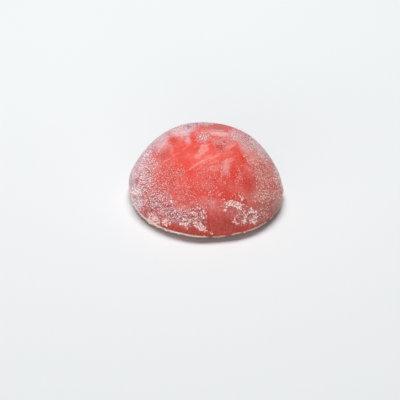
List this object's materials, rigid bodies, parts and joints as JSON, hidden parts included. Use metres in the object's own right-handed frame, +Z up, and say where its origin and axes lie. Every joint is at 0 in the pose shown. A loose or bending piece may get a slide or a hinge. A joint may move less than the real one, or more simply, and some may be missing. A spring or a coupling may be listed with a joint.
{
  "type": "mochi rice cake",
  "caption": "Soft domed rice cake with a thin edge round its foot and a flat base, dusted with starch, for serving as a sweet.",
  "frame": {"origin": "middle of the base, on the surface that the cake rests on", "axes": "+Z up through the crest, -Y towards the most dusted side, +X towards the small tongue of dough at the edge"},
  "size_m": [0.0566, 0.0558, 0.0258],
  "materials": {
    "skin": "soft satin coral-red dough, slightly moist where bare",
    "starch": "matt off-white starch dust"
  },
  "bodies": {
    "root": {"mochi": "skin"}
  },
  "joints": []
}
